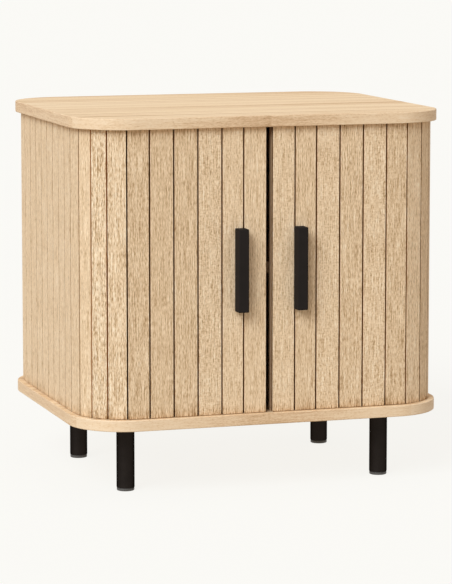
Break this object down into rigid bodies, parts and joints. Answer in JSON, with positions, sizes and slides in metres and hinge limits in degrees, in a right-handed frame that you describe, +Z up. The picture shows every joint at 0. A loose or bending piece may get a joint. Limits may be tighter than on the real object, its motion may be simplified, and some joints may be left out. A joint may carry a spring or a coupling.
{
  "type": "bedside table with tambour doors",
  "caption": "Rounded bedside table on round legs, with slatted tambour doors that slide sideways round its corners and bar handles.",
  "frame": {"origin": "on the floor, under the middle of the box around the whole table", "axes": "+X to the right as seen from the front, along the width; the doors face -Y; +Z up"},
  "size_m": [0.55, 0.467, 0.537],
  "materials": {
    "oak_veneer": "matt lacquered light oak, grain along the width",
    "oak_slat": "matt light oak, open upright grain",
    "oak_stile": "matt light oak",
    "inner_board": "matt light oak",
    "back_board": "matt light oak",
    "beech_dowel": "plain beech",
    "canvas_backing": "plain woven canvas",
    "black_handle": "satin black powder coat",
    "black_steel": "satin black powder coat",
    "zinc_plate": "zinc plated",
    "bright_steel": "zinc plated",
    "glide_plastic": "matt dark grey"
  },
  "bodies": {
    "carcass": {"top_slab": "oak_veneer", "bottom_slab": "oak_veneer", "left_inner_side": "inner_board", "right_inner_side": "inner_board", "back_panel": "back_board", "shelf": "inner_board", "shelf_pins": "bright_steel", "carcass_dowels": "beech_dowel", "front_left_leg": "black_steel", "front_right_leg": "black_steel", "rear_left_leg": "black_steel", "rear_right_leg": "black_steel", "leg_plates": "zinc_plate", "leg_plate_screws": "bright_steel", "leg_bolts": "bright_steel", "foot_glides": "glide_plastic"},
    "left_door_lead": {"left_lead_slats": "oak_slat", "left_lead_stile": "oak_stile", "left_handle": "black_handle", "left_handle_screws": "bright_steel", "left_canvas": "canvas_backing"},
    "left_door_slat_03": {"left_slat_03": "oak_slat"},
    "left_door_slat_04": {"left_slat_04": "oak_slat"},
    "left_door_slat_05": {"left_slat_05": "oak_slat"},
    "left_door_slat_06": {"left_slat_06": "oak_slat"},
    "left_door_slat_07": {"left_slat_07": "oak_slat"},
    "left_door_slat_08": {"left_slat_08": "oak_slat"},
    "left_door_slat_09": {"left_slat_09": "oak_slat"},
    "left_door_slat_10": {"left_slat_10": "oak_slat"},
    "left_door_side": {"left_side_slats": "oak_slat"},
    "left_door_slat_15": {"left_slat_15": "oak_slat"},
    "left_door_slat_16": {"left_slat_16": "oak_slat"},
    "left_door_slat_17": {"left_slat_17": "oak_slat"},
    "left_door_slat_18": {"left_slat_18": "oak_slat"},
    "left_door_slat_19": {"left_slat_19": "oak_slat"},
    "left_door_slat_20": {"left_slat_20": "oak_slat"},
    "left_door_slat_21": {"left_slat_21": "oak_slat"},
    "left_door_slat_22": {"left_slat_22": "oak_slat"},
    "right_door_lead": {"right_lead_slats": "oak_slat", "right_lead_stile": "oak_stile", "right_handle": "black_handle", "right_handle_screws": "bright_steel", "right_canvas": "canvas_backing"},
    "right_door_slat_03": {"right_slat_03": "oak_slat"},
    "right_door_slat_04": {"right_slat_04": "oak_slat"},
    "right_door_slat_05": {"right_slat_05": "oak_slat"},
    "right_door_slat_06": {"right_slat_06": "oak_slat"},
    "right_door_slat_07": {"right_slat_07": "oak_slat"},
    "right_door_slat_08": {"right_slat_08": "oak_slat"},
    "right_door_slat_09": {"right_slat_09": "oak_slat"},
    "right_door_slat_10": {"right_slat_10": "oak_slat"},
    "right_door_side": {"right_side_slats": "oak_slat"},
    "right_door_slat_15": {"right_slat_15": "oak_slat"},
    "right_door_slat_16": {"right_slat_16": "oak_slat"},
    "right_door_slat_17": {"right_slat_17": "oak_slat"},
    "right_door_slat_18": {"right_slat_18": "oak_slat"},
    "right_door_slat_19": {"right_slat_19": "oak_slat"},
    "right_door_slat_20": {"right_slat_20": "oak_slat"},
    "right_door_slat_21": {"right_slat_21": "oak_slat"},
    "right_door_slat_22": {"right_slat_22": "oak_slat"}
  },
  "joints": [
    {"name": "left_door", "type": "slide", "parent": "carcass", "child": "left_door_lead", "axis": [-1, 0, 0], "range_m": [0, 0.12], "deforming": ["left_canvas"]},
    {"name": "left_slat_03_turn", "type": "hinge", "parent": "carcass", "child": "left_door_slat_03", "pos_m": [-0.1302, 0.37225, 0.3175], "axis": [0, 0, -1], "range_deg": [0, 11.75]},
    {"name": "left_slat_04_turn", "type": "hinge", "parent": "carcass", "child": "left_door_slat_04", "pos_m": [-0.15505, -0.04236, 0.3175], "axis": [0, 0, -1], "range_deg": [0, 39.23]},
    {"name": "left_slat_05_turn", "type": "hinge", "parent": "carcass", "child": "left_door_slat_05", "pos_m": [-0.17406, -0.11428, 0.3175], "axis": [0, 0, -1], "range_deg": [0, 66.8]},
    {"name": "left_slat_06_turn", "type": "hinge", "parent": "carcass", "child": "left_door_slat_06", "pos_m": [-0.18747, -0.13379, 0.3175], "axis": [0, 0, -1], "range_deg": [0, 85.41]},
    {"name": "left_slat_07_turn", "type": "hinge", "parent": "carcass", "child": "left_door_slat_07", "pos_m": [-0.16768, -0.12126, 0.3175], "axis": [0, 0, -1], "range_deg": [0, 67.02]},
    {"name": "left_slat_08_turn", "type": "hinge", "parent": "carcass", "child": "left_door_slat_08", "pos_m": [-0.12141, -0.10756, 0.3175], "axis": [0, 0, -1], "range_deg": [0, 46.08]},
    {"name": "left_slat_09_turn", "type": "hinge", "parent": "carcass", "child": "left_door_slat_09", "pos_m": [-0.00746, -0.09377, 0.3175], "axis": [0, 0, -1], "range_deg": [0, 26.29]},
    {"name": "left_slat_10_turn", "type": "hinge", "parent": "carcass", "child": "left_door_slat_10", "pos_m": [1.15053, -0.065, 0.3175], "axis": [0, 0, -1], "range_deg": [0, 4.91]},
    {"name": "left_side_slats_slide", "type": "slide", "parent": "carcass", "child": "left_door_side", "axis": [0, 1, 0], "range_m": [0, 0.12059]},
    {"name": "left_slat_15_turn", "type": "hinge", "parent": "carcass", "child": "left_door_slat_15", "pos_m": [9.58125, 0.0662, 0.3175], "axis": [0, 0, -1], "range_deg": [0, 0.75]},
    {"name": "left_slat_16_turn", "type": "hinge", "parent": "carcass", "child": "left_door_slat_16", "pos_m": [0.09738, 0.09778, 0.3175], "axis": [0, 0, -1], "range_deg": [0, 18.82]},
    {"name": "left_slat_17_turn", "type": "hinge", "parent": "carcass", "child": "left_door_slat_17", "pos_m": [-0.11608, 0.11749, 0.3175], "axis": [0, 0, -1], "range_deg": [0, 44.43]},
    {"name": "left_slat_18_turn", "type": "hinge", "parent": "carcass", "child": "left_door_slat_18", "pos_m": [-0.17199, 0.13484, 0.3175], "axis": [0, 0, -1], "range_deg": [0, 70.04]},
    {"name": "left_slat_19_turn", "type": "hinge", "parent": "carcass", "child": "left_door_slat_19", "pos_m": [-0.18641, 0.14547, 0.3175], "axis": [0, 0, -1], "range_deg": [0, 84.61]},
    {"name": "left_slat_20_turn", "type": "hinge", "parent": "carcass", "child": "left_door_slat_20", "pos_m": [-0.17054, 0.11744, 0.3175], "axis": [0, 0, -1], "range_deg": [0, 61.48]},
    {"name": "left_slat_21_turn", "type": "hinge", "parent": "carcass", "child": "left_door_slat_21", "pos_m": [-0.15216, 0.03281, 0.3175], "axis": [0, 0, -1], "range_deg": [0, 35.05]},
    {"name": "left_slat_22_turn", "type": "hinge", "parent": "carcass", "child": "left_door_slat_22", "pos_m": [-0.12687, -0.54071, 0.3175], "axis": [0, 0, -1], "range_deg": [0, 9.02]},
    {"name": "right_door", "type": "slide", "parent": "carcass", "child": "right_door_lead", "axis": [1, 0, 0], "range_m": [0, 0.12], "deforming": ["right_canvas"]},
    {"name": "right_slat_03_turn", "type": "hinge", "parent": "carcass", "child": "right_door_slat_03", "pos_m": [0.1302, 0.37225, 0.3175], "axis": [0, 0, 1], "range_deg": [0, 11.75]},
    {"name": "right_slat_04_turn", "type": "hinge", "parent": "carcass", "child": "right_door_slat_04", "pos_m": [0.15505, -0.04236, 0.3175], "axis": [0, 0, 1], "range_deg": [0, 39.23]},
    {"name": "right_slat_05_turn", "type": "hinge", "parent": "carcass", "child": "right_door_slat_05", "pos_m": [0.17406, -0.11428, 0.3175], "axis": [0, 0, 1], "range_deg": [0, 66.8]},
    {"name": "right_slat_06_turn", "type": "hinge", "parent": "carcass", "child": "right_door_slat_06", "pos_m": [0.18747, -0.13379, 0.3175], "axis": [0, 0, 1], "range_deg": [0, 85.41]},
    {"name": "right_slat_07_turn", "type": "hinge", "parent": "carcass", "child": "right_door_slat_07", "pos_m": [0.16768, -0.12126, 0.3175], "axis": [0, 0, 1], "range_deg": [0, 67.02]},
    {"name": "right_slat_08_turn", "type": "hinge", "parent": "carcass", "child": "right_door_slat_08", "pos_m": [0.12141, -0.10756, 0.3175], "axis": [0, 0, 1], "range_deg": [0, 46.08]},
    {"name": "right_slat_09_turn", "type": "hinge", "parent": "carcass", "child": "right_door_slat_09", "pos_m": [0.00746, -0.09377, 0.3175], "axis": [0, 0, 1], "range_deg": [0, 26.29]},
    {"name": "right_slat_10_turn", "type": "hinge", "parent": "carcass", "child": "right_door_slat_10", "pos_m": [-1.15053, -0.065, 0.3175], "axis": [0, 0, 1], "range_deg": [0, 4.91]},
    {"name": "right_side_slats_slide", "type": "slide", "parent": "carcass", "child": "right_door_side", "axis": [0, 1, 0], "range_m": [0, 0.12059]},
    {"name": "right_slat_15_turn", "type": "hinge", "parent": "carcass", "child": "right_door_slat_15", "pos_m": [-9.58125, 0.0662, 0.3175], "axis": [0, 0, 1], "range_deg": [0, 0.75]},
    {"name": "right_slat_16_turn", "type": "hinge", "parent": "carcass", "child": "right_door_slat_16", "pos_m": [-0.09738, 0.09778, 0.3175], "axis": [0, 0, 1], "range_deg": [0, 18.82]},
    {"name": "right_slat_17_turn", "type": "hinge", "parent": "carcass", "child": "right_door_slat_17", "pos_m": [0.11608, 0.11749, 0.3175], "axis": [0, 0, 1], "range_deg": [0, 44.43]},
    {"name": "right_slat_18_turn", "type": "hinge", "parent": "carcass", "child": "right_door_slat_18", "pos_m": [0.17199, 0.13484, 0.3175], "axis": [0, 0, 1], "range_deg": [0, 70.04]},
    {"name": "right_slat_19_turn", "type": "hinge", "parent": "carcass", "child": "right_door_slat_19", "pos_m": [0.18641, 0.14547, 0.3175], "axis": [0, 0, 1], "range_deg": [0, 84.61]},
    {"name": "right_slat_20_turn", "type": "hinge", "parent": "carcass", "child": "right_door_slat_20", "pos_m": [0.17054, 0.11744, 0.3175], "axis": [0, 0, 1], "range_deg": [0, 61.48]},
    {"name": "right_slat_21_turn", "type": "hinge", "parent": "carcass", "child": "right_door_slat_21", "pos_m": [0.15216, 0.03281, 0.3175], "axis": [0, 0, 1], "range_deg": [0, 35.05]},
    {"name": "right_slat_22_turn", "type": "hinge", "parent": "carcass", "child": "right_door_slat_22", "pos_m": [0.12687, -0.54071, 0.3175], "axis": [0, 0, 1], "range_deg": [0, 9.02]}
  ],
  "couplings": [
    {"joint": "left_slat_03_turn", "follows": "left_door", "rad_per_m": 1.7013},
    {"joint": "left_slat_04_turn", "follows": "left_door", "rad_per_m": 5.6984},
    {"joint": "left_slat_05_turn", "follows": "left_door", "rad_per_m": 9.7085},
    {"joint": "left_slat_06_turn", "follows": "left_door", "rad_per_m": 12.415},
    {"joint": "left_slat_07_turn", "follows": "left_door", "rad_per_m": 9.7397},
    {"joint": "left_slat_08_turn", "follows": "left_door", "rad_per_m": 6.6953},
    {"joint": "left_slat_09_turn", "follows": "left_door", "rad_per_m": 3.8158},
    {"joint": "left_slat_10_turn", "follows": "left_door", "rad_per_m": 0.70735},
    {"joint": "left_side_slats_slide", "follows": "left_door", "ratio": 1.0033},
    {"joint": "left_slat_15_turn", "follows": "left_door", "rad_per_m": 0.10187},
    {"joint": "left_slat_16_turn", "follows": "left_door", "rad_per_m": 2.7302},
    {"joint": "left_slat_17_turn", "follows": "left_door", "rad_per_m": 6.4548},
    {"joint": "left_slat_18_turn", "follows": "left_door", "rad_per_m": 10.179},
    {"joint": "left_slat_19_turn", "follows": "left_door", "rad_per_m": 12.298},
    {"joint": "left_slat_20_turn", "follows": "left_door", "rad_per_m": 8.9343},
    {"joint": "left_slat_21_turn", "follows": "left_door", "rad_per_m": 5.0903},
    {"joint": "left_slat_22_turn", "follows": "left_door", "rad_per_m": 1.3052},
    {"joint": "right_slat_03_turn", "follows": "right_door", "rad_per_m": 1.7013},
    {"joint": "right_slat_04_turn", "follows": "right_door", "rad_per_m": 5.6984},
    {"joint": "right_slat_05_turn", "follows": "right_door", "rad_per_m": 9.7085},
    {"joint": "right_slat_06_turn", "follows": "right_door", "rad_per_m": 12.415},
    {"joint": "right_slat_07_turn", "follows": "right_door", "rad_per_m": 9.7397},
    {"joint": "right_slat_08_turn", "follows": "right_door", "rad_per_m": 6.6953},
    {"joint": "right_slat_09_turn", "follows": "right_door", "rad_per_m": 3.8158},
    {"joint": "right_slat_10_turn", "follows": "right_door", "rad_per_m": 0.70735},
    {"joint": "right_side_slats_slide", "follows": "right_door", "ratio": 1.0033},
    {"joint": "right_slat_15_turn", "follows": "right_door", "rad_per_m": 0.10187},
    {"joint": "right_slat_16_turn", "follows": "right_door", "rad_per_m": 2.7302},
    {"joint": "right_slat_17_turn", "follows": "right_door", "rad_per_m": 6.4548},
    {"joint": "right_slat_18_turn", "follows": "right_door", "rad_per_m": 10.179},
    {"joint": "right_slat_19_turn", "follows": "right_door", "rad_per_m": 12.298},
    {"joint": "right_slat_20_turn", "follows": "right_door", "rad_per_m": 8.9343},
    {"joint": "right_slat_21_turn", "follows": "right_door", "rad_per_m": 5.0903},
    {"joint": "right_slat_22_turn", "follows": "right_door", "rad_per_m": 1.3052}
  ]
}
